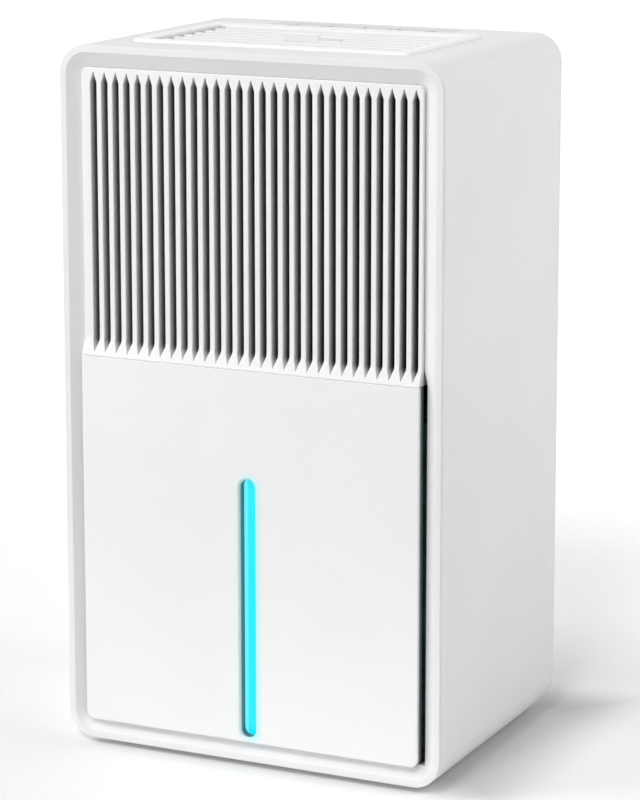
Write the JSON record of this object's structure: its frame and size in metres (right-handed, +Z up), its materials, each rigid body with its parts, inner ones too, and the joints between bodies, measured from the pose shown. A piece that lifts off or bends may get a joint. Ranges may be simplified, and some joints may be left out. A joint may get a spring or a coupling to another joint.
{
  "type": "dehumidifier",
  "caption": "Compact upright dehumidifier with a slotted front intake, a pull-out front water tank with a lit level window, and tilting louvres on top.",
  "frame": {"origin": "middle of the footprint, on the surface that the feet stand on", "axes": "+X to the right seen from the front, front face towards -Y, +Z up"},
  "size_m": [0.23, 0.1724, 0.4045],
  "materials": {
    "case_white": "satin moulded plastic",
    "grille_white": "satin moulded plastic",
    "tank_shell_white": "satin moulded plastic",
    "outlet_white": "satin moulded plastic",
    "key_white": "gloss moulded plastic",
    "strip_grey": "satin moulded plastic",
    "duct_black": "matt moulded plastic",
    "rail_grey": "matt moulded plastic",
    "foot_rubber": "matt rubber",
    "filter_cloth": "woven nylon mesh",
    "foam": "closed-cell foam",
    "sink_metal": "extruded",
    "ceramic": "fired ceramic faces",
    "screw_steel": "zinc plated",
    "board_green": "printed board",
    "part_black": "moulded",
    "coil_copper": "wound wire",
    "post_white": "moulded",
    "tank_clear": "clear moulded plastic",
    "light_cyan": "clear moulded plastic, lit from above"
  },
  "bodies": {
    "case": {"housing_sleeve": "case_white", "front_frame": "case_white", "rear_cover": "case_white", "intake_grille": "grille_white", "outlet_frame": "outlet_white", "control_panel": "strip_grey", "deck": "duct_black", "bay_wall": "duct_black", "fan_shroud": "duct_black", "fan_frame": "duct_black", "filter_frame": "duct_black", "drip_tray": "duct_black", "fan_motor": "duct_black", "tank_rails": "rail_grey", "feet": "foot_rubber", "filter_mesh": "filter_cloth", "foam_gasket": "foam", "cold_sink": "sink_metal", "hot_sink": "sink_metal", "board_heat_sink": "sink_metal", "cooling_modules": "ceramic", "rear_screws": "screw_steel", "sink_screws": "screw_steel", "fan_screws": "screw_steel", "control_board": "board_green", "main_board": "board_green", "light_board": "board_green", "key_switches": "part_black", "capacitors": "part_black", "dc_inlet": "part_black", "level_sensor": "part_black", "power_coil": "coil_copper", "panel_posts": "post_white", "board_posts": "post_white"},
    "tank": {"water_tank": "tank_clear", "tank_lid": "tank_clear", "tank_front": "tank_shell_white", "light_bar": "light_cyan"},
    "float": {"tank_float": "post_white", "float_magnet": "screw_steel"},
    "rotor": {"fan_rotor": "duct_black"},
    "link": {"louvre_link": "duct_black"},
    "louvre_1_body": {"louvre_1": "outlet_white"},
    "louvre_2_body": {"louvre_2": "outlet_white"},
    "louvre_3_body": {"louvre_3": "outlet_white"},
    "louvre_4_body": {"louvre_4": "outlet_white"},
    "louvre_5_body": {"louvre_5": "outlet_white"},
    "louvre_6_body": {"louvre_6": "outlet_white"},
    "louvre_7_body": {"louvre_7": "outlet_white"},
    "key_power_body": {"key_power": "key_white"},
    "key_timer_body": {"key_timer": "key_white"},
    "key_mode_body": {"key_mode": "key_white"},
    "key_fan_body": {"key_fan": "key_white"},
    "key_light_body": {"key_light": "key_white"}
  },
  "joints": [
    {"name": "tank_slide", "type": "slide", "parent": "case", "child": "tank", "axis": [0, -1, 0], "range_m": [0, 0.13]},
    {"name": "float_slide", "type": "slide", "parent": "tank", "child": "float", "axis": [0, 0, 1], "range_m": [0, 0.16]},
    {"name": "fan_spin", "type": "hinge", "parent": "case", "child": "rotor", "pos_m": [0, -0.0114, 0.36], "axis": [0, 0, 1], "continuous": true},
    {"name": "louvre_1_tilt", "type": "hinge", "parent": "case", "child": "louvre_1_body", "pos_m": [0, -0.04915, 0.3981], "axis": [1, 0, 0], "range_deg": [-8, 70]},
    {"name": "louvre_2_tilt", "type": "hinge", "parent": "case", "child": "louvre_2_body", "pos_m": [0, -0.03665, 0.3981], "axis": [1, 0, 0], "range_deg": [-8, 70]},
    {"name": "louvre_3_tilt", "type": "hinge", "parent": "case", "child": "louvre_3_body", "pos_m": [0, -0.02415, 0.3981], "axis": [1, 0, 0], "range_deg": [-8, 70]},
    {"name": "louvre_4_tilt", "type": "hinge", "parent": "case", "child": "louvre_4_body", "pos_m": [0, -0.01165, 0.3981], "axis": [1, 0, 0], "range_deg": [-8, 70]},
    {"name": "louvre_5_tilt", "type": "hinge", "parent": "case", "child": "louvre_5_body", "pos_m": [0, 0.00085, 0.3981], "axis": [1, 0, 0], "range_deg": [-8, 70]},
    {"name": "louvre_6_tilt", "type": "hinge", "parent": "case", "child": "louvre_6_body", "pos_m": [0, 0.01335, 0.3981], "axis": [1, 0, 0], "range_deg": [-8, 70]},
    {"name": "louvre_7_tilt", "type": "hinge", "parent": "case", "child": "louvre_7_body", "pos_m": [0, 0.02585, 0.3981], "axis": [1, 0, 0], "range_deg": [-8, 70]},
    {"name": "link_turn", "type": "hinge", "parent": "louvre_3_body", "child": "link", "pos_m": [0.0734, -0.02701, 0.39352], "axis": [1, 0, 0], "range_deg": [-70, 8]},
    {"name": "key_power_press", "type": "slide", "parent": "case", "child": "key_power_body", "axis": [0, 0, -1], "range_m": [0, 0.0006], "stiffness_N_per_m": 800, "springref_m": -0.0004},
    {"name": "key_timer_press", "type": "slide", "parent": "case", "child": "key_timer_body", "axis": [0, 0, -1], "range_m": [0, 0.0006], "stiffness_N_per_m": 800, "springref_m": -0.0004},
    {"name": "key_mode_press", "type": "slide", "parent": "case", "child": "key_mode_body", "axis": [0, 0, -1], "range_m": [0, 0.0006], "stiffness_N_per_m": 800, "springref_m": -0.0004},
    {"name": "key_fan_press", "type": "slide", "parent": "case", "child": "key_fan_body", "axis": [0, 0, -1], "range_m": [0, 0.0006], "stiffness_N_per_m": 800, "springref_m": -0.0004},
    {"name": "key_light_press", "type": "slide", "parent": "case", "child": "key_light_body", "axis": [0, 0, -1], "range_m": [0, 0.0006], "stiffness_N_per_m": 800, "springref_m": -0.0004}
  ],
  "couplings": [
    {"joint": "louvre_1_tilt", "follows": "louvre_3_tilt", "ratio": 1},
    {"joint": "louvre_2_tilt", "follows": "louvre_3_tilt", "ratio": 1},
    {"joint": "louvre_4_tilt", "follows": "louvre_3_tilt", "ratio": 1},
    {"joint": "louvre_5_tilt", "follows": "louvre_3_tilt", "ratio": 1},
    {"joint": "louvre_6_tilt", "follows": "louvre_3_tilt", "ratio": 1},
    {"joint": "louvre_7_tilt", "follows": "louvre_3_tilt", "ratio": 1},
    {"joint": "link_turn", "follows": "louvre_3_tilt", "ratio": -1}
  ]
}
